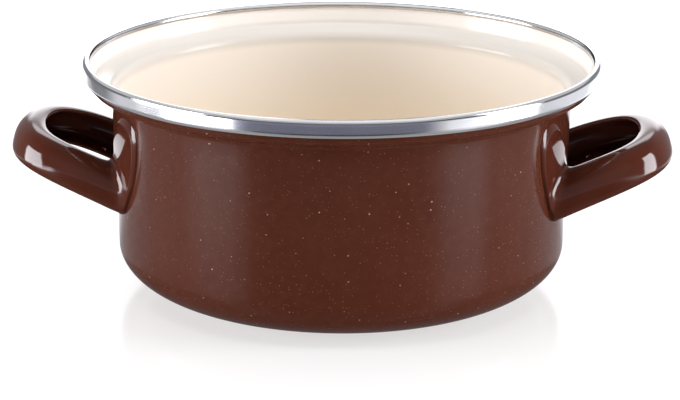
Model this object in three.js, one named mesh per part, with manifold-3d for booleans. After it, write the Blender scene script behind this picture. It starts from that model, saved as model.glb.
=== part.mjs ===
// Enamelled steel casserole, open top, two welded loop handles.
// Millimetres, +Z up, origin at the centre of the base underside, +X through
// the right handle. Every turned piece shares the same number of facets and the
// same start angle, so the thin layers nest with parallel facets.

import * as THREE from "three";
import { mergeVertices } from "three/addons/utils/BufferGeometryUtils.js";
import Module from "manifold-3d";

const wasm = await Module();
wasm.setup();

// ---------------------------------------------------------------- dimensions
const SEGMENTS = 48;           // facets round the pot

// body, outer surface
const BASE_FLAT_R = 66;        // radius of the flat underside
const WALL_FOOT_R = 101.5;     // wall radius where the bottom corner ends
const WALL_FOOT_Z = 20.8;
const WALL_TOP_R = 103.5;      // wall radius under the neck
const WALL_TOP_Z = 89.0;
const NECK = [103.56, 91.0];   // where the wall and the lid ledge would meet
const NECK_FILLET = 2.8;
const SHOULDER = [113.0, 94.44]; // where the ledge and the lip would meet
const SHOULDER_ROUND = 3.0;
const LIP_R = 115.0;           // top of the leaning lip, inside the band
const LIP_TOP_Z = 104.25;

// layers, measured inward from the outer surface
const COAT = 0.35;             // vitreous enamel, each side
const SHEET = 0.70;            // deep-drawn steel sheet
const LAYER_GAP = 0.05;

// stainless rim band, a U pressed over the lip
const BAND_R = 116;
const BAND_TOP = 105.4;
const BAND_BOTTOM = 97.4;
const BAND_SHEET = 0.40;
const BAND_INNER_R = 112.6;    // radius of the inner leg's free face
const BAND_INNER_BOTTOM = 102.8;
const BAND_ROLL = 1.85;        // radius of the turned-in lower edge

// handle: a pressed channel bent to a loop, its open side facing the fingers
const H_ROOT_X = 95.8;         // crest of an arm at the wall
const H_ROOT_Y = 42.83;
const H_ROOT_Z = 48.13;
const H_TILT = THREE.MathUtils.degToRad(25.83); // loop rises outward
const H_SAG = -0.001483;       // slight downward bow of the loop
const H_REACH = 58.9;          // root to tip, along the tilted loop
const H_BULGE = 0.44;          // arms swell a little before they round the end
const H_CTRL_1 = 0.530;
const H_CTRL_2 = 0.903;
const H_WIDTH = 15.89;         // channel width across the loop
const H_WIDTH_ROOT = 1.084;    // width at the root, relative
const H_DEPTH = 12.91;         // channel depth, crest to lips
const H_DEPTH_ROOT = 1.2;      // depth at the root, relative
const H_POWER_TOP = 2.4;       // roundness of the section above the crest
const H_POWER_LOW = 3.6;       // and below it
const H_CURL = THREE.MathUtils.degToRad(118); // the upper wall runs this far round to its lip
const H_TURN = THREE.MathUtils.degToRad(7.2); // the open side looks slightly up
const H_SHEET = 1.2;           // steel strap with its enamel
const H_GAP = 0.3;             // clearance of the foot to the wall
const H_FILLET = 6;            // arm to foot
const DRAIN_R = 1.3;           // drain hole in the floor of each arm
const DRAIN_AT = 0.2;          // its place along the arm, 0 root to 1 tip
const DRAIN_DEPTH = 5.2;       // its distance from the crest

// outline of a foot on the wall, from the lower lip round the outside to the
// upper lip: angle from the handle's middle plane (degrees) and height (mm)
const FOOT = [
  [14.8, 40.4], [19.4, 39.6], [22.4, 40.8], [24.6, 43.4], [26.4, 47.0],
  [28.2, 51.8], [30.3, 58.6], [32.0, 67.0], [32.9, 75.5], [31.8, 82.6],
  [28.0, 86.4], [22.6, 84.6], [17.4, 76.5],
];

// ---------------------------------------------------------------- materials
const enamel = (hex) =>
  new THREE.MeshStandardMaterial({ color: hex, roughness: 0.12, metalness: 0 });
const brown = enamel(0x5a2a1e);
const brownHandle = enamel(0x52231a);
const cream = enamel(0xe9d9c0);
const steel = new THREE.MeshStandardMaterial({ color: 0x77777a, roughness: 0.5, metalness: 1 });
const stainless = new THREE.MeshStandardMaterial({ color: 0xc9cbd0, roughness: 0.15, metalness: 1 });

// ---------------------------------------------------------------- body profile
function outerProfile() {
  const p = [[0, 0], [BASE_FLAT_R, 0]];
  for (const deg of [18, 36, 54, 72, 90]) {
    const t = THREE.MathUtils.degToRad(deg);
    p.push([
      BASE_FLAT_R + (WALL_FOOT_R - BASE_FLAT_R) * Math.sin(t),
      WALL_FOOT_Z * (1 - Math.cos(t)),
    ]);
  }
  const wallFoot = p[p.length - 1], lipTop = [LIP_R, LIP_TOP_Z];
  p.push(...corner(wallFoot, NECK, SHOULDER, NECK_FILLET, 2));
  p.push(...corner(NECK, SHOULDER, lipTop, SHOULDER_ROUND, 2));
  p.push(lipTop);
  return p;
}

// The corner at q between the lines to a and b, rounded to radius r.
function corner(a, q, b, r, steps) {
  const unit = (t) => {
    const d = [t[0] - q[0], t[1] - q[1]], l = Math.hypot(d[0], d[1]);
    return [d[0] / l, d[1] / l];
  };
  const u = unit(a), v = unit(b);
  const half = 0.5 * Math.acos(u[0] * v[0] + u[1] * v[1]);
  const run = r / Math.tan(half), m = [u[0] + v[0], u[1] + v[1]], l = Math.hypot(m[0], m[1]);
  const c = [0, 1].map((k) => q[k] + (m[k] / l) * (r / Math.sin(half)));
  const s = [0, 1].map((k) => q[k] + u[k] * run - c[k]), e = [0, 1].map((k) => q[k] + v[k] * run - c[k]);
  const sweep = Math.PI - 2 * half;
  return Array.from({ length: steps + 1 }, (_, i) => {
    const w = i / steps, f = Math.sin((1 - w) * sweep) / Math.sin(sweep), g = Math.sin(w * sweep) / Math.sin(sweep);
    return [c[0] + f * s[0] + g * e[0], c[1] + f * s[1] + g * e[1]];
  });
}

// The same profile moved inward by d, along the mitred normals.
function inset(profile, d) {
  const n = profile.length;
  const normal = (a, b) => {
    const dx = b[0] - a[0], dz = b[1] - a[1], l = Math.hypot(dx, dz);
    return [-dz / l, dx / l];
  };
  return profile.map((q, i) => {
    const a = i > 0 ? normal(profile[i - 1], q) : [0, 1];
    const b = i < n - 1 ? normal(q, profile[i + 1]) : a;
    const k = 1 + a[0] * b[0] + a[1] * b[1];
    const r = q[0] + (d * (a[0] + b[0])) / k;
    return [i === 0 ? 0 : r, q[1] + (d * (a[1] + b[1])) / k];
  });
}

function turned(points) {
  const g = new THREE.LatheGeometry(points.map(([r, z]) => new THREE.Vector2(r, z)), SEGMENTS);
  g.rotateX(Math.PI / 2);
  return g;
}

// A layer of the wall between two depths below the outer surface. The top edge
// is levelled so that all layers end at the same height inside the band.
function layer(from, to) {
  const outer = outerProfile();
  const a = inset(outer, from), b = inset(outer, to);
  return turned([...a, ...b.reverse()]);
}

// ---------------------------------------------------------------- rim band
function bandGeometry() {
  const o = BAND_R, i = BAND_INNER_R, t = BAND_SHEET, b = BAND_ROLL;
  const crown = 0.5 * (o - i), zc = BAND_TOP - crown;
  const lean = THREE.MathUtils.degToRad(75), zb = BAND_BOTTOM + b * Math.sin(lean);
  const arc = (r0, z0, r, degs) => degs.map((deg) => {
    const a = THREE.MathUtils.degToRad(deg);
    return [r0 + r * Math.cos(a), z0 + r * Math.sin(a)];
  });
  const p = [
    ...arc(o - b, zb, b, [-75, -45, -20, 0]),
    ...arc(o - crown, zc, crown, [0, 30, 60, 90, 120, 150, 180]),
    [i, BAND_INNER_BOTTOM],
    [i + t, BAND_INNER_BOTTOM],
    ...arc(o - crown, zc, crown - t, [180, 150, 90, 30, 0]),
    ...arc(o - b, zb, b - t, [0, -45, -75]),
  ];
  p.push(p[0]);
  return turned(p);
}

// ---------------------------------------------------------------- handle
function wallRadius(z) {
  const h = Math.min(z, WALL_TOP_Z) - WALL_FOOT_Z;
  return WALL_FOOT_R + ((WALL_TOP_R - WALL_FOOT_R) * h) / (WALL_TOP_Z - WALL_FOOT_Z);
}

// Crest line of one arm in the loop's plane: [reach, side], with the direction
// that points into the loop. Below zero it runs straight on into the wall.
const CREST = [
  [0, H_ROOT_Y],
  [H_CTRL_1 * H_REACH, H_ROOT_Y + H_BULGE],
  [H_REACH, H_CTRL_2 * H_ROOT_Y],
  [H_REACH, 0],
];
function crest(t) {
  const u = Math.max(0, t), v = 1 - u;
  const point = [0, 1].map((k) =>
    v ** 3 * CREST[0][k] + 3 * v * v * u * CREST[1][k] + 3 * v * u * u * CREST[2][k] + u ** 3 * CREST[3][k]);
  const slope = [0, 1].map((k) =>
    3 * v * v * (CREST[1][k] - CREST[0][k]) + 6 * v * u * (CREST[2][k] - CREST[1][k]) + 3 * u * u * (CREST[3][k] - CREST[2][k]));
  if (t < 0) { point[0] += t * slope[0]; point[1] += t * slope[1]; }
  const l = Math.hypot(slope[0], slope[1]);
  return { point, inward: [slope[1] / l, -slope[0] / l] };
}

// A point of the arm at t along the loop, given in its section's own directions.
function inFrame(t, across, depth) {
  const { point, inward } = crest(t);
  const d = depth * Math.cos(H_TURN) - across * Math.sin(H_TURN);
  const n = across * Math.cos(H_TURN) + depth * Math.sin(H_TURN);
  const s = point[0] + inward[0] * d, y = point[1] + inward[1] * d;
  return new THREE.Vector3(
    H_ROOT_X + s * Math.cos(H_TILT) - n * Math.sin(H_TILT),
    y,
    H_ROOT_Z + s * Math.sin(H_TILT) + H_SAG * s * s + n * Math.cos(H_TILT));
}

// Half width and depth of the section at t.
function sectionSize(t) {
  const taper = Math.min(1.2, Math.max(0, 1 - crest(t).point[0] / H_REACH));
  return [0.5 * H_WIDTH * (1 + (H_WIDTH_ROOT - 1) * taper), H_DEPTH * (1 + (H_DEPTH_ROOT - 1) * taper)];
}

// Outer surface of an arm: t along the loop, a from the lower lip (-90 degrees)
// over the crest (0) to the upper lip (+90 degrees).
function armPoint(t, a) {
  const [half, deep] = sectionSize(t);
  if (a > 0) {
    const k = 2 / H_POWER_TOP, b = (a * H_CURL) / (0.5 * Math.PI), cb = Math.cos(b);
    return inFrame(t, half * (Math.sin(b) / Math.sin(H_CURL)) ** k,
      (deep * (1 - Math.sign(cb) * Math.abs(cb) ** k)) / (1 + Math.abs(Math.cos(H_CURL)) ** k));
  }
  const k = 2 / H_POWER_LOW;
  return inFrame(t, -half * Math.abs(Math.sin(a)) ** k, deep * (1 - Math.max(0, Math.cos(a)) ** k));
}

// A point of the foot's outer face on the wall.
function onWall(deg, z) {
  const r = wallRadius(z) + H_GAP + H_SHEET, t = THREE.MathUtils.degToRad(deg);
  return new THREE.Vector3(r * Math.cos(t), r * Math.sin(t), z);
}

// Where a line of the arm reaches the foot's face.
function rootOf(a) {
  let lo = -1.5, hi = 0.6;
  for (let k = 0; k < 60; k++) {
    const mid = 0.5 * (lo + hi), p = armPoint(mid, a);
    if (Math.hypot(p.x, p.y) > wallRadius(p.z) + H_GAP + H_SHEET) hi = mid; else lo = mid;
  }
  return 0.5 * (lo + hi);
}

const FLANGE_STEPS = 2, FILLET_STEPS = 4, ARM_STEPS = 9;

// One line of the surface, from the foot's edge to the middle of the loop.
function surfaceLine(k) {
  const a = (k / (FOOT.length - 1) - 0.5) * Math.PI;
  const t0 = rootOf(a), corner = armPoint(t0, a);
  const cornerDeg = THREE.MathUtils.radToDeg(Math.atan2(corner.y, corner.x));
  const [deg, z] = FOOT[k];
  const edge = onWall(deg, z);
  const run = edge.distanceTo(corner);
  const f = Math.min(0.72, H_FILLET / run);
  const flat = (w) => onWall(cornerDeg + (deg - cornerDeg) * w, corner.z + (z - corner.z) * w);
  // start of the fillet on the arm
  let t1 = t0;
  while (armPoint(t1, a).distanceTo(corner) < H_FILLET) t1 += 0.002;
  const start = armPoint(t1, a), foot = flat(f);
  const line = [];
  for (let i = 0; i < FLANGE_STEPS; i++) line.push(flat(1 + ((f - 1) * i) / FLANGE_STEPS));
  for (let i = 0; i < FILLET_STEPS; i++) {
    const w = i / FILLET_STEPS, v = 1 - w;
    line.push(new THREE.Vector3()
      .addScaledVector(foot, v * v).addScaledVector(corner, 2 * v * w).addScaledVector(start, w * w));
  }
  for (let i = 0; i <= ARM_STEPS; i++) line.push(armPoint(t1 + ((1 - t1) * i) / ARM_STEPS, a));
  return line;
}

function handleGeometry() {
  const rows = FOOT.length;
  const half = Array.from({ length: rows }, (_, k) => surfaceLine(k));
  const cols = 2 * half[0].length - 1, mid = half[0].length - 1;
  const outer = half.map((line) =>
    Array.from({ length: cols }, (_, i) => {
      const p = line[i <= mid ? i : cols - 1 - i].clone();
      if (i === mid) p.y = 0;
      if (i > mid) p.y = -p.y;
      return p;
    }));
  // sheet thickness, laid inside the outer surface
  const inner = outer.map((line, k) => line.map((p, i) => {
    const du = line[Math.min(cols - 1, i + 1)].clone().sub(line[Math.max(0, i - 1)]);
    const dv = outer[Math.min(rows - 1, k + 1)][i].clone().sub(outer[Math.max(0, k - 1)][i]);
    const n = du.cross(dv).normalize();
    return p.clone().addScaledVector(n, H_SHEET);
  }));
  const positions = [], index = [];
  for (const grid of [outer, inner]) for (const line of grid) for (const p of line) positions.push(p.x, p.y, p.z);
  const at = (side, k, i) => side * rows * cols + k * cols + i;
  const quad = (a, b, c, d) => index.push(a, b, c, a, c, d);
  for (let k = 0; k < rows - 1; k++) for (let i = 0; i < cols - 1; i++) {
    quad(at(0, k, i), at(0, k + 1, i), at(0, k + 1, i + 1), at(0, k, i + 1));
    quad(at(1, k, i), at(1, k, i + 1), at(1, k + 1, i + 1), at(1, k + 1, i));
  }
  for (let i = 0; i < cols - 1; i++) {
    quad(at(0, 0, i), at(0, 0, i + 1), at(1, 0, i + 1), at(1, 0, i));
    const k = rows - 1;
    quad(at(0, k, i + 1), at(0, k, i), at(1, k, i), at(1, k, i + 1));
  }
  for (let k = 0; k < rows - 1; k++) {
    quad(at(0, k + 1, 0), at(0, k, 0), at(1, k, 0), at(1, k + 1, 0));
    const i = cols - 1;
    quad(at(0, k, i), at(0, k + 1, i), at(1, k + 1, i), at(1, k, i));
  }
  const g = new THREE.BufferGeometry();
  g.setAttribute("position", new THREE.Float32BufferAttribute(positions, 3));
  g.setIndex(index);
  return g;
}

// ---------------------------------------------------------------- booleans
function toSolid(geometry) {
  const g = geometry.clone();
  g.deleteAttribute("normal");
  g.deleteAttribute("uv");
  const m = mergeVertices(g, 1e-4);
  return new wasm.Manifold(new wasm.Mesh({
    numProp: 3,
    vertProperties: new Float32Array(m.attributes.position.array),
    triVerts: new Uint32Array(m.index.array),
  }));
}
function fromSolid(solid) {
  const m = solid.getMesh();
  const g = new THREE.BufferGeometry();
  g.setAttribute("position", new THREE.Float32BufferAttribute(m.vertProperties, 3));
  g.setIndex(Array.from(m.triVerts));
  g.computeVertexNormals();
  return g;
}

// A drain hole through the floor of the channel, in each arm.
function drainHole(side) {
  const [half] = sectionSize(DRAIN_AT);
  const low = inFrame(DRAIN_AT, -half - 4.5, DRAIN_DEPTH), high = inFrame(DRAIN_AT, -half + 4.5, DRAIN_DEPTH);
  low.y *= side;
  high.y *= side;
  const axis = high.clone().sub(low).normalize();
  const g = new THREE.CylinderGeometry(DRAIN_R, DRAIN_R, 9, 12);
  g.applyQuaternion(new THREE.Quaternion().setFromUnitVectors(new THREE.Vector3(0, 1, 0), axis));
  g.translate(...low.add(high).multiplyScalar(0.5).toArray());
  return toSolid(g);
}

const strap = fromSolid(
  toSolid(handleGeometry()).subtract(drainHole(1)).subtract(drainHole(-1)));

// ---------------------------------------------------------------- assembly
function piece(name, geometry, material) {
  const m = new THREE.Mesh(geometry, material);
  m.name = name;
  return m;
}

const pot = new THREE.Group();
const body = new THREE.Group();
const d0 = COAT, d1 = d0 + LAYER_GAP, d2 = d1 + SHEET, d3 = d2 + LAYER_GAP, d4 = d3 + COAT;
body.add(piece("outer_enamel", layer(0, d0), brown));
body.add(piece("steel_shell", layer(d1, d2), steel));
body.add(piece("inner_enamel", layer(d3, d4), cream));
body.add(piece("rim_band", bandGeometry(), stainless));
pot.add(body);

const right = piece("handle_right", strap, brownHandle);
const left = piece("handle_left", strap.clone(), brownHandle.clone());
left.rotation.z = Math.PI;
pot.add(right, left);

export default pot;
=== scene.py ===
import math

import bmesh
import bpy
import numpy as np
from mathutils import Euler, Matrix, Vector


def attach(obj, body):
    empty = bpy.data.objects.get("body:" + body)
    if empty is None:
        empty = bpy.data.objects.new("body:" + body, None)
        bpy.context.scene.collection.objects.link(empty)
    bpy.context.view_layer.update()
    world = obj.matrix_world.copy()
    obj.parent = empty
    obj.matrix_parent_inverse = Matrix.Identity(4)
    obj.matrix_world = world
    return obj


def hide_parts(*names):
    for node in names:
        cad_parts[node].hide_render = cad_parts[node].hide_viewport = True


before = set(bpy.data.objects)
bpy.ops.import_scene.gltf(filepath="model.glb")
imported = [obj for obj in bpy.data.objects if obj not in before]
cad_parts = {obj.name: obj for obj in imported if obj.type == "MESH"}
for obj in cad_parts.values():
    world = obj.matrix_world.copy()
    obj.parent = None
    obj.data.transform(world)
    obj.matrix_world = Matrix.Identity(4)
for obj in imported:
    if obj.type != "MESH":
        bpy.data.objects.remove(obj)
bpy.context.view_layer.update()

# Enamelled steel casserole. Sizes below are in millimetres, in the CAD frame:
# origin at the centre of the base underside, +X through the right handle, +Z up.
MM = 0.001
SEG = 256

# body, outer surface
BASE_FLAT_R = 66.0
WALL_FOOT_R, WALL_FOOT_Z = 101.5, 20.8
WALL_TOP_R, WALL_TOP_Z = 103.5, 89.0
NECK, NECK_FILLET = (103.56, 91.0), 2.8
SHOULDER, SHOULDER_ROUND = (113.0, 94.44), 3.0
LIP_R, LIP_TOP_Z = 115.0, 104.25
COAT, SHEET, GAP = 0.35, 0.70, 0.05

# rim band
BAND_R, BAND_TOP, BAND_BOTTOM, BAND_SHEET = 116.0, 105.4, 97.4, 0.40
BAND_INNER_R, BAND_INNER_BOTTOM = 112.6, 102.8
BAND_ROLL = 1.85       # radius of the turned-in lower edge

# handle
H_ROOT_X, H_ROOT_Y, H_ROOT_Z = 95.8, 42.83, 48.13
H_TILT = math.radians(25.83)
H_SAG, H_REACH, H_BULGE = -0.001483, 58.8, 0.44
H_CTRL_1, H_CTRL_2 = 0.530, 0.903
H_WIDTH, H_WIDTH_ROOT = 15.89, 1.084      # across the loop; the root is wider
H_DEPTH, H_DEPTH_ROOT = 12.91, 1.2        # crest to lips; the root is deeper
H_POWER_TOP, H_POWER_LOW = 2.4, 3.6       # roundness of the section, above and below the crest
H_CURL = math.radians(118)                # how far round the upper wall runs, from the crest to its lip
H_TURN = math.radians(7.2)                # the section's open side looks slightly up
H_SHEET, H_STAND, H_FILLET = 1.2, 1.5, 6.0
PAD_BACK = 0.06        # the pad's back lies this far off the wall
PAD_ROLL = 5.4         # width of the rounded pad edge
PAD_SLOPE = math.radians(30)  # how steeply the rounded edge meets the wall
DRAIN_R, DRAIN_AT, DRAIN_DEPTH = 1.3, 0.2, 5.2
FOOT = [
    (14.8, 40.4), (19.4, 39.6), (22.2, 40.8), (24.0, 43.6), (25.6, 47.2),
    (27.6, 51.8), (30.0, 58.6), (32.0, 67.0), (33.0, 75.5), (32.9, 83.0),
    (29.0, 87.0), (22.8, 85.2), (17.4, 76.5),
]


# ------------------------------------------------------------------ mesh helpers
def make_object(name, verts_mm, faces, sharp=38.0):
    me = bpy.data.meshes.new(name)
    me.from_pydata([tuple(float(c) * MM for c in v) for v in verts_mm], [], faces)
    bm = bmesh.new()
    bm.from_mesh(me)
    bmesh.ops.remove_doubles(bm, verts=bm.verts, dist=2e-6)
    bmesh.ops.dissolve_degenerate(bm, edges=bm.edges, dist=1e-6)
    bmesh.ops.recalc_face_normals(bm, faces=bm.faces)
    bm.to_mesh(me)
    bm.free()
    me.polygons.foreach_set("use_smooth", [True] * len(me.polygons))
    me.set_sharp_from_angle(angle=math.radians(sharp))
    me.update()
    ob = bpy.data.objects.new(name, me)
    bpy.context.scene.collection.objects.link(ob)
    return ob


def lathe(name, profile, ring=False, sharp=38.0):
    """Turns a profile (radius, height) about Z. A ring's profile closes on itself."""
    verts, rows, faces = [], [], []
    ang = [2 * math.pi * i / SEG for i in range(SEG)]
    for r, z in profile:
        if r < 1e-6:
            rows.append([len(verts)] * SEG)
            verts.append((0.0, 0.0, z))
        else:
            rows.append(list(range(len(verts), len(verts) + SEG)))
            verts += [(r * math.cos(t), r * math.sin(t), z) for t in ang]
    n = len(rows)
    for k in range(n if ring else n - 1):
        a, b = rows[k], rows[(k + 1) % n]
        for i in range(SEG):
            j = (i + 1) % SEG
            if a[i] == a[j]:
                faces.append((a[i], b[j], b[i]))
            elif b[i] == b[j]:
                faces.append((a[i], a[j], b[i]))
            else:
                faces.append((a[i], a[j], b[j], b[i]))
    return make_object(name, verts, faces, sharp)


def rounded(points, radii, steps=7):
    """A polyline with some of its corners turned to arcs: radii by point index."""
    out = []
    pts = [np.array(p, float) for p in points]
    for i, p in enumerate(pts):
        r = radii.get(i, 0.0)
        if r <= 0 or i in (0, len(pts) - 1):
            out.append(tuple(p))
            continue
        a, b = pts[i - 1] - p, pts[i + 1] - p
        la, lb = np.linalg.norm(a), np.linalg.norm(b)
        a, b = a / la, b / lb
        half = 0.5 * math.acos(max(-1.0, min(1.0, float(a @ b))))
        run = min(r / math.tan(half), 0.49 * la, 0.49 * lb)
        r = run * math.tan(half)
        mid = (a + b) / np.linalg.norm(a + b)
        c = p + mid * (r / math.sin(half))
        s, e = p + a * run - c, p + b * run - c
        sweep = math.acos(max(-1.0, min(1.0, float(s @ e) / (r * r))))
        for k in range(steps + 1):
            w = k / steps
            q = (math.sin((1 - w) * sweep) * s + math.sin(w * sweep) * e) / math.sin(sweep)
            out.append(tuple(c + q))
    return out


def inset(profile, d):
    """The profile moved inward by d along its mitred normals."""
    p = np.array(profile, float)
    seg = p[1:] - p[:-1]
    seg /= np.linalg.norm(seg, axis=1, keepdims=True)
    nrm = np.stack([-seg[:, 1], seg[:, 0]], 1)
    a = np.vstack([[0.0, 1.0], nrm])
    b = np.vstack([nrm, nrm[-1]])
    k = 1 + (a * b).sum(1, keepdims=True)
    q = p + d * (a + b) / k
    q[0, 0] = 0.0
    return [tuple(v) for v in q]


# ------------------------------------------------------------------ turned pieces
def outer_profile():
    p = [(0.0, 0.0), (20.0, 0.0), (40.0, 0.0), (55.0, 0.0), (62.0, 0.0)]
    for k in range(0, 31):
        t = math.radians(3.0 * k)
        p.append((BASE_FLAT_R + (WALL_FOOT_R - BASE_FLAT_R) * math.sin(t), WALL_FOOT_Z * (1 - math.cos(t))))
    for k in range(1, 9):
        w = k / 9
        p.append((WALL_FOOT_R + (WALL_TOP_R - WALL_FOOT_R) * w, WALL_FOOT_Z + (WALL_TOP_Z - WALL_FOOT_Z) * w))
    tail = rounded([p[-1], NECK, SHOULDER, (LIP_R, LIP_TOP_Z)], {1: NECK_FILLET, 2: SHOULDER_ROUND}, 10)
    return p + tail[1:]


OUTER = outer_profile()


def layer(name, d0, d1):
    a, b = inset(OUTER, d0), inset(OUTER, d1)
    return lathe(name, a + b[::-1], sharp=50.0)


def arc(cx, cz, r, a0, a1, n):
    return [(cx + r * math.cos(math.radians(a0 + (a1 - a0) * k / n)),
             cz + r * math.sin(math.radians(a0 + (a1 - a0) * k / n))) for k in range(n + 1)]


def band_profile():
    o, i, t, b = BAND_R, BAND_INNER_R, BAND_SHEET, BAND_ROLL
    ro = ri = 0.5 * (o - i)                                # crown, a full half round
    zb = BAND_BOTTOM + b * math.sin(math.radians(75))
    p = arc(o - b, zb, b, -75, 0, 10)                      # turned-in lower edge
    p += [(o, zb + (BAND_TOP - ro - zb) * k / 6) for k in range(1, 6)]
    p += arc(o - ro, BAND_TOP - ro, ro, 0, 90, 11)
    p += arc(i + ri, BAND_TOP - ri, ri, 90, 180, 11)[1:]
    p += arc(i + 0.2, BAND_INNER_BOTTOM + 0.2, 0.2, 180, 270, 4)
    p += [(i + t, BAND_INNER_BOTTOM)]
    p += arc(i + ri, BAND_TOP - ri, ri - t, 180, 90, 8)
    p += arc(o - ro, BAND_TOP - ro, ro - t, 90, 0, 8)[1:]
    p += arc(o - b, zb, b - t, 0, -75, 6)
    return p


# ------------------------------------------------------------------ handles
def wall_radius(z):
    z = np.minimum(np.asarray(z, float), WALL_TOP_Z)
    return WALL_FOOT_R + (WALL_TOP_R - WALL_FOOT_R) * (z - WALL_FOOT_Z) / (WALL_TOP_Z - WALL_FOOT_Z)


CREST = np.array([(0.0, H_ROOT_Y), (H_CTRL_1 * H_REACH, H_ROOT_Y + H_BULGE),
                  (H_REACH, H_CTRL_2 * H_ROOT_Y), (H_REACH, 0.0)])


def crest(t):
    u = max(0.0, t)
    v = 1 - u
    p = v ** 3 * CREST[0] + 3 * v * v * u * CREST[1] + 3 * v * u * u * CREST[2] + u ** 3 * CREST[3]
    d = 3 * v * v * (CREST[1] - CREST[0]) + 6 * v * u * (CREST[2] - CREST[1]) + 3 * u * u * (CREST[3] - CREST[2])
    if t < 0:
        p = p + t * d
    d = d / np.linalg.norm(d)
    return p, np.array([d[1], -d[0]])


def section(a):
    """The channel's section: place across and depth, each as a share of its full size."""
    a = np.asarray(a, dtype=float)
    k = 2 / H_POWER_TOP
    b = np.clip(a, 0.0, None) * H_CURL / (0.5 * math.pi)
    top = (np.abs(np.sin(b)) / math.sin(H_CURL)) ** k
    top_deep = (1 - np.sign(np.cos(b)) * np.abs(np.cos(b)) ** k) / (1 + abs(math.cos(H_CURL)) ** k)
    k = 2 / H_POWER_LOW
    low, low_deep = -np.abs(np.sin(a)) ** k, 1 - np.clip(np.cos(a), 0.0, 1.0) ** k
    return np.where(a > 0, top, low), np.where(a > 0, top_deep, low_deep)


def in_frame(t, across, depth):
    """A point of the arm at t along the loop, given in the section's own directions."""
    p, inward = crest(t)
    d = depth * math.cos(H_TURN) - across * math.sin(H_TURN)
    n = across * math.cos(H_TURN) + depth * math.sin(H_TURN)
    s, y = p + inward * d
    return np.array([H_ROOT_X + s * math.cos(H_TILT) - n * math.sin(H_TILT), y,
                     H_ROOT_Z + s * math.sin(H_TILT) + H_SAG * s * s + n * math.cos(H_TILT)])


def section_size(t):
    taper = min(1.2, max(0.0, 1 - crest(t)[0][0] / H_REACH))
    return (0.5 * H_WIDTH * (1 + (H_WIDTH_ROOT - 1) * taper), H_DEPTH * (1 + (H_DEPTH_ROOT - 1) * taper))


def arm_point(t, a):
    half, deep = section_size(t)
    across, depth = section(a)
    return in_frame(t, half * float(across), deep * float(depth))


def on_wall(deg, z, stand=H_STAND):
    r = float(wall_radius(z)) + stand
    t = math.radians(deg)
    return np.array([r * math.cos(t), r * math.sin(t), z])


def root_of(a):
    lo, hi = -1.5, 0.6
    for _ in range(50):
        mid = 0.5 * (lo + hi)
        p = arm_point(mid, a)
        if math.hypot(p[0], p[1]) > float(wall_radius(p[2])) + H_STAND:
            hi = mid
        else:
            lo = mid
    return 0.5 * (lo + hi)


def section_angles(n):
    """Angles of the channel's section at equal steps along its outline."""
    a = np.linspace(-math.pi / 2, math.pi / 2, 6001)
    across, depth = section(a)
    s = np.concatenate([[0], np.cumsum(np.hypot(0.5 * H_WIDTH * np.diff(across), H_DEPTH * np.diff(depth)))])
    return np.interp(np.linspace(0, s[-1], n), s, a)


def foot_at(k):
    """Outline of a foot by a smooth curve through the points of FOOT."""
    n = len(FOOT)
    i = min(int(k), n - 2)
    w = k - i
    q = [np.array(FOOT[min(max(j, 0), n - 1)]) for j in (i - 1, i, i + 1, i + 2)]
    return 0.5 * (2 * q[1] + (q[2] - q[0]) * w + (2 * q[0] - 5 * q[1] + 4 * q[2] - q[3]) * w * w
                  + (3 * q[1] - q[0] - 3 * q[2] + q[3]) * w ** 3)


ROWS, ROLL_STEPS, FLANGE_STEPS, FILLET_STEPS, ARM_STEPS = 33, 6, 5, 9, 42


def surface_line(a, shift):
    """Outer and inner line of the strap, from the pad's edge to the middle of the loop."""
    t0 = root_of(a)
    corner = arm_point(t0, a)
    corner_deg = math.degrees(math.atan2(corner[1], corner[0]))
    deg, z = foot_at((a / math.pi + 0.5) * (len(FOOT) - 1))
    lean = min(1.0, max(0.0, (deg - 22.0) / 8.0))
    deg += shift * lean
    run = float(np.linalg.norm(on_wall(deg, z) - corner))
    f = min(0.72, H_FILLET / run)
    roll = min(PAD_ROLL / run, 0.9 * (1 - f))

    def flat(w, lift):
        """A point of the pad, lift 0 on its back and 1 on its face."""
        dw, zw = corner_deg + (deg - corner_deg) * w, corner[2] + (z - corner[2]) * w
        return on_wall(dw, zw, PAD_BACK + (H_STAND - PAD_BACK) * lift)

    t1 = t0
    while np.linalg.norm(arm_point(t1, a) - corner) < H_FILLET:
        t1 += 0.002
    start, foot = arm_point(t1, a), flat(f, 1.0)
    outer, inner = [], []
    for i in range(ROLL_STEPS):
        psi = PAD_SLOPE * (1 - i / ROLL_STEPS)
        w = 1 - roll * (1 - math.sin(psi) / math.sin(PAD_SLOPE))
        outer.append(flat(w, (math.cos(psi) - math.cos(PAD_SLOPE)) / (1 - math.cos(PAD_SLOPE))))
        inner.append(flat(w, 0.0))
    for i in range(FLANGE_STEPS):
        w = (1 - roll) + (f - (1 - roll)) * i / FLANGE_STEPS
        outer.append(flat(w, 1.0))
        inner.append(flat(w, 0.0))
    for i in range(FILLET_STEPS):
        w = i / FILLET_STEPS
        outer.append((1 - w) ** 2 * foot + 2 * w * (1 - w) * corner + w * w * start)
        inner.append(None)
    for i in range(ARM_STEPS + 1):
        outer.append(arm_point(t1 + (1 - t1) * i / ARM_STEPS, a))
        inner.append(None)
    flat_in = flat(f, 0.0)
    return outer, inner, flat_in


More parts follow.
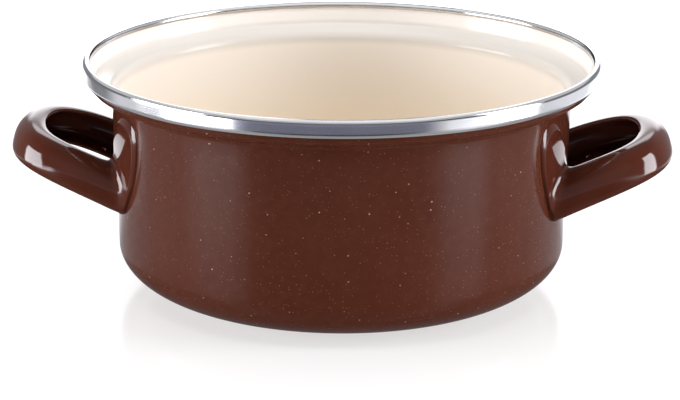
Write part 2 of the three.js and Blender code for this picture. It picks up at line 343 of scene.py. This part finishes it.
def handle_piece(name, shifts, turn):
    """A handle as one closed sheet with full-round lips. shifts moves the outer
    edge of each foot round the wall; turn puts it on the other side of the pot."""
    angles = section_angles(ROWS)
    halves = []
    for shift in shifts:
        halves.append([surface_line(a, shift) for a in angles])
    half = len(halves[0][0][0])
    cols, mid = 2 * half - 1, half - 1
    outer = np.zeros((ROWS, cols, 3))
    back = np.full((ROWS, cols, 3), np.nan)
    flip = np.array([1.0, -1.0, 1.0])
    for k in range(ROWS):
        for i in range(cols):
            h, j = (0, i) if i <= mid else (1, cols - 1 - i)
            o, b, _ = halves[h][k]
            outer[k, i] = o[j] if h == 0 else o[j] * flip
            if i == mid:
                outer[k, i, 1] = 0.0
            if b[j] is not None:
                back[k, i] = b[j] if h == 0 else b[j] * flip
    du = np.empty_like(outer)
    dv = np.empty_like(outer)
    du[:, 1:-1] = outer[:, 2:] - outer[:, :-2]
    du[:, 0], du[:, -1] = outer[:, 1] - outer[:, 0], outer[:, -1] - outer[:, -2]
    dv[1:-1] = outer[2:] - outer[:-2]
    dv[0], dv[-1] = outer[1] - outer[0], outer[-1] - outer[-2]
    nrm = np.cross(du, dv)
    nrm /= np.linalg.norm(nrm, axis=2, keepdims=True)
    sheet = outer + H_SHEET * nrm
    inner = np.where(np.isnan(back), sheet, back)
    # the strap's back leaves the wall along the fillet
    n0 = ROLL_STEPS + FLANGE_STEPS
    for side in (0, 1):
        for k in range(ROWS):
            f = halves[side][k][2]
            f = f if side == 0 else f * flip
            c = n0 if side == 0 else cols - 1 - n0
            step = 1 if side == 0 else -1
            gap = f - sheet[k, c]
            for m in range(4):
                inner[k, c + step * m] = sheet[k, c + step * m] + gap * (1 - m / 4) ** 2
    # full-round lips: the edge rows step back by half the thickness
    verts, faces = [], []

    def put(p):
        verts.append(tuple(p))
        return len(verts) - 1

    ring = [15, 45, 75, 105, 135, 165]
    o_id = -np.ones((ROWS, cols), int)
    i_id = -np.ones((ROWS, cols), int)
    lips = {}
    for k in range(ROWS):
        for i in range(cols):
            if k in (0, ROWS - 1):
                nb = 1 if k == 0 else ROWS - 2
                e = outer[k, i] - outer[nb, i]
                e /= np.linalg.norm(e)
                h = 0.5 * (outer[k, i] - inner[k, i])
                th = np.linalg.norm(h)
                c = 0.5 * (outer[k, i] + inner[k, i]) - e * th
                o_id[k, i], i_id[k, i] = put(c + h), put(c - h)
                lips[(k, i)] = [put(c + h * math.cos(math.radians(b)) + e * th * math.sin(math.radians(b))) for b in ring]
            else:
                o_id[k, i], i_id[k, i] = put(outer[k, i]), put(inner[k, i])
    for k in range(ROWS - 1):
        for i in range(cols - 1):
            faces.append((o_id[k, i], o_id[k + 1, i], o_id[k + 1, i + 1], o_id[k, i + 1]))
            faces.append((i_id[k, i], i_id[k, i + 1], i_id[k + 1, i + 1], i_id[k + 1, i]))
    for k in (0, ROWS - 1):
        for i in range(cols - 1):
            a = [o_id[k, i]] + lips[(k, i)] + [i_id[k, i]]
            b = [o_id[k, i + 1]] + lips[(k, i + 1)] + [i_id[k, i + 1]]
            for m in range(len(a) - 1):
                faces.append((a[m], b[m], b[m + 1], a[m + 1]))
    for i in (0, cols - 1):
        for k in range(ROWS - 1):
            faces.append((o_id[k, i], o_id[k + 1, i], i_id[k + 1, i], i_id[k, i]))
        for k in (0, ROWS - 1):
            faces.append(tuple([o_id[k, i]] + lips[(k, i)] + [i_id[k, i]]))
    if turn:
        verts = [(-x, -y, z) for x, y, z in verts]
    ob = make_object(name, verts, faces, sharp=60.0)
    sub = ob.modifiers.new("smooth", "SUBSURF")
    sub.levels = sub.render_levels = 1
    drill(ob, turn)
    return ob


def drill(ob, turn):
    """Cuts the drain hole through the lower wall of each arm."""
    cutters = []
    for side in (1.0, -1.0):
        half, _ = section_size(DRAIN_AT)
        ends = [in_frame(DRAIN_AT, -half + reach, DRAIN_DEPTH) for reach in (-3.5, 3.5)]
        axis = (ends[1] - ends[0]) / np.linalg.norm(ends[1] - ends[0])
        u = np.cross(axis, [0.0, 1.0, 0.0])
        u /= np.linalg.norm(u)
        v = np.cross(axis, u)
        ring = [(math.cos(2 * math.pi * k / 32), math.sin(2 * math.pi * k / 32)) for k in range(32)]
        verts = [e + DRAIN_R * (c * u + d * v) for e in ends for c, d in ring]
        verts = [(q[0], side * q[1], q[2]) for q in verts]
        if turn:
            verts = [(-x, -y, z) for x, y, z in verts]
        faces = [(k, (k + 1) % 32, 32 + (k + 1) % 32, 32 + k) for k in range(32)]
        faces += [tuple(range(32)), tuple(range(32, 64))]
        cutter = make_object("cutter", verts, faces)
        cutters.append(cutter)
        cut = ob.modifiers.new("drain", "BOOLEAN")
        cut.operation, cut.solver, cut.object = "DIFFERENCE", "EXACT", cutter
    bpy.context.view_layer.update()
    solid = bpy.data.meshes.new_from_object(ob.evaluated_get(bpy.context.evaluated_depsgraph_get()))
    ob.modifiers.clear()
    ob.data = solid
    for cutter in cutters:
        bpy.data.objects.remove(cutter, do_unlink=True)


# ------------------------------------------------------------------ materials
class Nodes:
    def __init__(self, tree):
        self.tree = tree
        tree.nodes.clear()

    def add(self, kind, **props):
        n = self.tree.nodes.new(kind)
        for key, value in props.items():
            setattr(n, key, value)
        return n

    def link(self, a, b):
        self.tree.links.new(a, b)

    def math(self, op, a, b=None, c=None, clamp=False):
        n = self.add("ShaderNodeMath", operation=op, use_clamp=clamp)
        for socket, v in zip(n.inputs, (a, b, c)):
            if v is None:
                continue
            if isinstance(v, (int, float)):
                socket.default_value = v
            else:
                self.link(v, socket)
        return n.outputs[0]

    def remap(self, v, a, b, lo=0.0, hi=1.0, smooth=True):
        n = self.add("ShaderNodeMapRange", interpolation_type="SMOOTHSTEP" if smooth else "LINEAR", clamp=True)
        self.link(v, n.inputs["Value"])
        for key, x in (("From Min", a), ("From Max", b), ("To Min", lo), ("To Max", hi)):
            n.inputs[key].default_value = x
        return n.outputs["Result"]

    def mix(self, fac, a, b, blend="MIX"):
        n = self.add("ShaderNodeMix", data_type="RGBA", blend_type=blend, clamp_factor=True)
        for socket, v in ((n.inputs[0], fac), (n.inputs[6], a), (n.inputs[7], b)):
            if isinstance(v, (int, float)):
                socket.default_value = v
            elif isinstance(v, tuple):
                socket.default_value = (*v, 1.0)
            else:
                self.link(v, socket)
        return n.outputs[2]

    def noise(self, vec, scale, detail=2.0, rough=0.5):
        n = self.add("ShaderNodeTexNoise")
        self.link(vec, n.inputs["Vector"])
        n.inputs["Scale"].default_value = scale
        n.inputs["Detail"].default_value = detail
        n.inputs["Roughness"].default_value = rough
        return n.outputs["Fac"]

    def voronoi(self, vec, scale):
        n = self.add("ShaderNodeTexVoronoi", feature="F1", voronoi_dimensions="3D")
        self.link(vec, n.inputs["Vector"])
        n.inputs["Scale"].default_value = scale
        n.inputs["Randomness"].default_value = 1.0
        return n.outputs["Distance"], n.outputs["Color"]


def material(name, **constants):
    m = bpy.data.materials.new(name)
    m.use_nodes = True
    t = Nodes(m.node_tree)
    bsdf = t.add("ShaderNodeBsdfPrincipled")
    out = t.add("ShaderNodeOutputMaterial")
    t.link(bsdf.outputs[0], out.inputs["Surface"])
    for key, value in constants.items():
        bsdf.inputs[key.replace("_", " ")].default_value = value
    co = t.add("ShaderNodeTexCoord").outputs["Object"]
    return m, t, bsdf, co


def bump(t, bsdf, height, strength, distance):
    n = t.add("ShaderNodeBump")
    n.inputs["Strength"].default_value = strength
    n.inputs["Distance"].default_value = distance
    t.link(height, n.inputs["Height"])
    t.link(n.outputs["Normal"], bsdf.inputs["Normal"])


def speckles(t, co, cell, r_small, r_big, share):
    """Round pale flecks: one in some cells of a random 3-D pattern, sizes in metres."""
    d, c = t.voronoi(co, 1.0 / cell)
    sep = t.add("ShaderNodeSeparateColor")
    t.link(c, sep.inputs[0])
    size = t.remap(sep.outputs[0], 0.0, 1.0, r_small / cell, r_big / cell, smooth=False)
    inside = t.math("SUBTRACT", size, d)
    dot = t.remap(inside, -0.012, 0.03)
    keep = t.remap(sep.outputs[1], 1.0 - share, 1.0 - share + 0.02)
    tone = t.remap(sep.outputs[2], 0.0, 1.0, 0.35, 1.0, smooth=False)
    return t.math("MULTIPLY", t.math("MULTIPLY", dot, keep), tone)


def brown_enamel():
    m, t, bsdf, co = material("brown_speckled_enamel", IOR=1.52)
    tone = t.noise(co, 22.0, 3.0)
    mottle = t.noise(co, 260.0, 2.0)
    base = t.mix(t.remap(tone, 0.3, 0.7), (0.068, 0.0170, 0.0084), (0.078, 0.0204, 0.0104))
    base = t.mix(t.remap(mottle, 0.35, 0.75, 0.0, 0.35), base, (0.091, 0.0270, 0.0145))
    big = speckles(t, co, 0.0042, 0.00016, 0.00042, 0.7)
    fine = speckles(t, co, 0.0014, 0.00012, 0.00026, 0.75)
    base = t.mix(t.math("MULTIPLY", fine, 0.65), base, (0.27, 0.15, 0.11))
    base = t.mix(big, base, (0.47, 0.30, 0.23))
    t.link(base, bsdf.inputs["Base Color"])
    t.link(t.remap(mottle, 0.2, 0.8, 0.07, 0.13), bsdf.inputs["Roughness"])
    peel = t.noise(co, 330.0, 1.5)
    bump(t, bsdf, t.math("ADD", peel, t.math("MULTIPLY", big, 0.4)), 0.035, 0.0002)
    return m


def handle_enamel():
    m, t, bsdf, co = material("brown_plain_enamel", IOR=1.52)
    tone = t.noise(co, 45.0, 3.0)
    base = t.mix(t.remap(tone, 0.3, 0.7), (0.064, 0.0152, 0.0080), (0.075, 0.0190, 0.0104))
    t.link(base, bsdf.inputs["Base Color"])
    t.link(t.remap(t.noise(co, 160.0), 0.25, 0.75, 0.05, 0.09), bsdf.inputs["Roughness"])
    bump(t, bsdf, t.noise(co, 240.0, 1.5), 0.05, 0.0002)
    return m


def cream_enamel():
    m, t, bsdf, co = material("cream_enamel", IOR=1.33)
    sep = t.add("ShaderNodeSeparateXYZ")
    t.link(co, sep.inputs[0])
    tone = t.math("ADD", sep.outputs[2], t.math("MULTIPLY", t.noise(co, 18.0, 3.0), 0.012))
    # painted light: the cream runs from a warmer, brighter tone low in the pot to a paler, more neutral tone near the
    # rim, standing in for light bounced round the inside and sheen on the upper wall
    base = t.mix(t.remap(tone, 0.010, 0.092), (0.94, 0.81, 0.63), (0.83, 0.775, 0.71))
    # painted shade: a darker band of cream on the lid ledge, below the lip
    base = t.mix(t.remap(sep.outputs[2], 0.086, 0.091), base, (0.65, 0.612, 0.563))
    # painted sheen: the lip above the ledge is a paler, more neutral cream
    base = t.mix(t.remap(sep.outputs[2], 0.0945, 0.098), base, (0.88, 0.835, 0.785))
    fine = speckles(t, co, 0.0062, 0.00008, 0.00018, 0.3)
    base = t.mix(t.math("MULTIPLY", fine, 0.35), base, (0.55, 0.38, 0.24))
    t.link(base, bsdf.inputs["Base Color"])
    t.link(t.remap(t.noise(co, 120.0), 0.2, 0.8, 0.09, 0.15), bsdf.inputs["Roughness"])
    bump(t, bsdf, t.noise(co, 210.0, 1.5), 0.05, 0.0002)
    return m


def ring_coords(t, co, along, across):
    """Coordinates that run round the pot's axis, for marks left by turning and polishing."""
    sep = t.add("ShaderNodeSeparateXYZ")
    t.link(co, sep.inputs[0])
    x, y, z = sep.outputs
    r = t.math("SQRT", t.math("ADD", t.math("MULTIPLY", x, x), t.math("MULTIPLY", y, y)))
    ang = t.math("ARCTAN2", y, x)
    com = t.add("ShaderNodeCombineXYZ")
    t.link(t.math("MULTIPLY", ang, along), com.inputs[0])
    t.link(t.math("MULTIPLY", r, across), com.inputs[1])
    t.link(t.math("MULTIPLY", z, across), com.inputs[2])
    return com.outputs[0]


def stainless():
    m, t, bsdf, co = material("polished_stainless", Metallic=1.0)
    ring = ring_coords(t, co, 9.0, 5200.0)
    lines = t.noise(ring, 1.0, 3.0, 0.6)
    soft = t.noise(co, 40.0, 2.0)
    base = t.mix(t.remap(soft, 0.3, 0.7), (0.60, 0.605, 0.625), (0.66, 0.66, 0.675))
    t.link(base, bsdf.inputs["Base Color"])
    t.link(t.remap(lines, 0.25, 0.75, 0.06, 0.15), bsdf.inputs["Roughness"])
    bump(t, bsdf, lines, 0.03, 0.0001)
    return m


def core_steel():
    m, t, bsdf, co = material("core_steel", Metallic=1.0)
    ring = ring_coords(t, co, 14.0, 2600.0)
    lines = t.noise(ring, 1.0, 3.0, 0.6)
    base = t.mix(t.remap(lines, 0.3, 0.7), (0.34, 0.34, 0.35), (0.46, 0.46, 0.47))
    t.link(base, bsdf.inputs["Base Color"])
    t.link(t.remap(lines, 0.25, 0.75, 0.32, 0.5), bsdf.inputs["Roughness"])
    return m


# ------------------------------------------------------------------ pieces
def finish_piece(ob, node, mat):
    ob.data.materials.append(mat)
    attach(ob, "root")
    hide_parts(node)


d1 = COAT + GAP
d2 = d1 + SHEET
d3 = d2 + GAP
finish_piece(layer("body_outer_enamel", 0.0, COAT), "outer_enamel", brown_enamel())
finish_piece(layer("body_steel_shell", d1, d2), "steel_shell", core_steel())
finish_piece(layer("body_inner_enamel", d3, d3 + COAT), "inner_enamel", cream_enamel())
finish_piece(lathe("steel_rim_band", band_profile(), ring=True, sharp=50.0), "rim_band", stainless())
brown = handle_enamel()
finish_piece(handle_piece("loop_handle_right", (0.0, -1.7), False), "handle_right", brown)
finish_piece(handle_piece("loop_handle_left", (0.9, 0.0), True), "handle_left", brown)

# ------------------------------------------------------------------ stage
floor_mesh = bpy.data.meshes.new("floor")
floor_mesh.from_pydata([(-8, -8, 0), (8, -8, 0), (8, 8, 0), (-8, 8, 0)], [], [(0, 1, 2, 3)])
floor = bpy.data.objects.new("floor", floor_mesh)
bpy.context.scene.collection.objects.link(floor)
floor.location.z = -0.0002
fm, ft, fb, fco = material("pale_floor", IOR=1.4)
grain = ft.noise(fco, 3.0, 2.0)
ft.link(ft.mix(grain, (0.36, 0.36, 0.36), (0.38, 0.38, 0.38)), fb.inputs["Base Color"])
fb.inputs["Roughness"].default_value = 0.14
fb.inputs["Emission Color"].default_value = (1.0, 0.985, 0.975, 1.0)      # a lit table top
fb.inputs["Emission Strength"].default_value = 0.63
floor.data.materials.append(fm)
floor.visible_glossy = False

scene = bpy.context.scene
world = bpy.data.worlds.new("studio")
scene.world = world
world.use_nodes = True
w = Nodes(world.node_tree)

# The studio, by direction: azimuth 0 is the camera's side, +90 the pot's right.
direction = w.add("ShaderNodeSeparateXYZ")
w.link(w.add("ShaderNodeTexCoord").outputs["Generated"], direction.inputs[0])
dx, dy, dz = direction.outputs
azimuth = w.math("MULTIPLY", w.math("ARCTAN2", dx, w.math("MULTIPLY", dy, -1.0)), 180 / math.pi)
side = w.math("ABSOLUTE", azimuth)
elevation = w.math("MULTIPLY", w.math("ARCSINE", dz), 180 / math.pi)


def window(v, a, b, soft):
    """1 between a and b, with soft edges."""
    return w.math("MULTIPLY", w.remap(v, a - soft, a + soft), w.remap(v, b - soft, b + soft, 1.0, 0.0))


def table(v, lo, hi, points):
    """A curve through points (value, level), straight in between."""
    top = max(y for _, y in points)
    n = w.add("ShaderNodeValToRGB")
    w.link(w.remap(v, lo, hi, smooth=False), n.inputs[0])
    ramp = n.color_ramp
    ramp.interpolation = "LINEAR"
    while len(ramp.elements) > 1:
        ramp.elements.remove(ramp.elements[-1])
    for i, (x, y) in enumerate(points):
        e = ramp.elements[0] if i == 0 else ramp.elements.new((x - lo) / (hi - lo))
        e.position = (x - lo) / (hi - lo)
        e.color = (y / top, y / top, y / top, 1.0)
    return w.math("MULTIPLY", n.outputs[0], top)


box_left = w.math("MULTIPLY", window(azimuth, -97.0, -61.0, 2.0), window(elevation, -12.0, 23.0, 2.5))
box_right = w.math("MULTIPLY", window(azimuth, 70.0, 96.0, 2.0), window(elevation, -14.0, 37.0, 2.5))
back = w.math("ADD", w.math("MULTIPLY", w.remap(side, 160.0, 168.0), window(elevation, -4.0, 18.0, 5.0)),
              w.math("MULTIPLY", w.remap(side, 166.0, 172.0), window(elevation, 23.0, 37.0, 4.0)))
haze = table(side, 0.0, 180.0, [(0, 0.22), (35, 0.2), (50, 0.1), (95, 0.2), (180, 0.35)])
haze = w.math("MULTIPLY", haze, w.remap(elevation, 25.0, 60.0, 1.0, 0.4))
path = w.add("ShaderNodeLightPath")
dim = w.math("SUBTRACT", 1.0, w.math("MULTIPLY", w.math("MULTIPLY", path.outputs["Is Diffuse Ray"], 0.85), w.remap(elevation, 2.0, 8.0)))
sky = w.math("ADD", haze, w.math("MULTIPLY", w.math("MULTIPLY", w.math("ADD", box_left, box_right), dim), 10.0))
sky = w.math("ADD", sky, w.math("MULTIPLY", back, 2.4))
# what the upright surfaces mirror: the table round the pot, and the strip beyond it
near = table(azimuth, -180.0, 180.0, [
    (-180, 0.5), (-130, 0.33), (-85, 0.37), (-69, 0.95), (-55, 0.95), (-42, 0.2), (-32, 0.08),
    (32, 0.08), (46, 0.18), (61, 0.92), (73, 0.98), (85, 0.3), (115, 0.35), (180, 0.52)])
near = w.math("MULTIPLY", near, table(elevation, -90.0, 0.0, [
    (-90, 0.02), (-40, 0.14), (-22, 0.4), (-19.5, 0.9), (0, 1.0)]))
strip = w.math("MULTIPLY", w.remap(side, 106.0, 128.0, 0.0, 1.4), w.remap(elevation, -18.2, -16.8))
near = w.math("ADD", near, strip)
near = w.math("ADD", near, w.math("MULTIPLY", window(elevation, -100.0, -38.0, 4.0), 0.05))
far = table(azimuth, -180.0, 180.0, [
    (-180, 1.5), (-154, 1.5), (-148, 0.3), (-124, 0.3), (-112, 0.95), (-82, 0.95), (-79, 7.0), (-50, 7.0),
    (-44, 0.7), (-38, 0.31), (39, 0.29), (46, 0.8), (66, 2.2), (77, 0.9), (110, 1.15), (180, 1.25)])
ground = w.add("ShaderNodeMix", data_type="FLOAT")
w.link(w.remap(elevation, -16.4, -14.9), ground.inputs[0])
w.link(near, ground.inputs[2])
w.link(far, ground.inputs[3])
total = w.add("ShaderNodeMix", data_type="FLOAT")
w.link(w.remap(elevation, -13.0, -8.0), total.inputs[0])
w.link(w.math("ADD", ground.outputs[0], w.math("MULTIPLY", w.math("ADD", box_left, box_right), 8.0)), total.inputs[2])
w.link(sky, total.inputs[3])

light = w.add("ShaderNodeBackground")
cool = w.math("MULTIPLY", window(azimuth, -44.0, 42.0, 3.0), window(elevation, -16.0, -8.0, 1.0))
w.link(w.mix(cool, (0.985, 0.985, 1.03), (0.94, 0.95, 1.24)), light.inputs["Color"])
w.link(total.outputs[0], light.inputs["Strength"])
plain = w.add("ShaderNodeBackground")
plain.inputs["Color"].default_value = (1, 1, 1, 1)
plain.inputs["Strength"].default_value = 1.0
seen = w.add("ShaderNodeMixShader")
w.link(path.outputs["Is Camera Ray"], seen.inputs[0])
w.link(light.outputs[0], seen.inputs[1])
w.link(plain.outputs[0], seen.inputs[2])
wo = w.add("ShaderNodeOutputWorld")
w.link(seen.outputs[0], wo.inputs["Surface"])

# a black flag behind the pot, only for its mirror image in the glossy pieces
flag_mesh = bpy.data.meshes.new("black_flag")
flag_mesh.from_pydata([(-0.058, 0.5, 0.05), (0.058, 0.5, 0.05), (0.058, 0.5, 0.5), (-0.058, 0.5, 0.5)], [], [(0, 1, 2, 3)])
flag = bpy.data.objects.new("black_flag", flag_mesh)
scene.collection.objects.link(flag)
gm, gt, gb, gco = material("black_velvet", Roughness=0.95)
gt.link(gt.mix(gt.noise(gco, 60.0), (0.004, 0.004, 0.004), (0.008, 0.008, 0.008)), gb.inputs["Base Color"])
flag_mesh.materials.append(gm)
flag.visible_camera = flag.visible_diffuse = flag.visible_shadow = flag.visible_transmission = False

# soft lights that fill the inside and the floor and have no mirror image
for name, place, size, energy in (("overhead", (0.0, -0.15, 1.5), (1.5, 1.5), 20.5),
                                  ("left_fill", (-1.12, -0.45, 0.24), (1.0, 0.5), 3.6),
                                  ("right_fill", (1.12, -0.45, 0.24), (1.0, 0.5), 3.6)):
    lamp = bpy.data.lights.new(name, "AREA")
    lamp.shape, lamp.size, lamp.size_y, lamp.energy = "RECTANGLE", size[0], size[1], energy
    lamp_ob = bpy.data.objects.new(name, lamp)
    lamp_ob.location = place
    lamp_ob.rotation_euler = (Vector(place) - Vector((0.0, 0.0, 0.05))).to_track_quat("Z", "Y").to_euler()
    lamp_ob.visible_glossy = False
    scene.collection.objects.link(lamp_ob)

# cards above and below the pot that only the polished band mirrors
rim_only = bpy.data.collections.new("rim_only")
rim_only.objects.link(bpy.data.objects["steel_rim_band"])
for name, height, face, size, level in (("rim_card_top", 1.2, 0.0, 1.6, 0.6), ("rim_card_wide", 1.25, 0.0, 6.0, 0.5),
                                        ("rim_card_low", 0.003, math.pi, 0.7, 0.36)):
    lamp = bpy.data.lights.new(name, "AREA")
    lamp.shape, lamp.size, lamp.energy = "SQUARE", size, math.pi * level * size * size
    lamp_ob = bpy.data.objects.new(name, lamp)
    lamp_ob.location, lamp_ob.rotation_euler = (0.0, 0.0, height), (face, 0.0, 0.0)
    lamp_ob.visible_camera = lamp_ob.visible_diffuse = False
    lamp_ob.light_linking.receiver_collection = rim_only
    scene.collection.objects.link(lamp_ob)

# ------------------------------------------------------------------ camera
cam = bpy.data.cameras.new("camera")
cam.sensor_width = 36.0
cam.lens = 126.04
cam.shift_x = -0.0018
cam.clip_start, cam.clip_end = 0.01, 50.0
cam_ob = bpy.data.objects.new("camera", cam)
cam_ob.location = (0.04736, -1.04292, 0.3523)
level = Euler((math.radians(90 - 16.79), 0.0, math.radians(2.6))).to_matrix()
cam_ob.rotation_euler = (level @ Matrix.Rotation(math.radians(0.2), 3, "Z")).to_euler()
scene.collection.objects.link(cam_ob)
scene.camera = cam_ob
scene.view_settings.view_transform = "Standard"
scene.view_settings.look = "None"
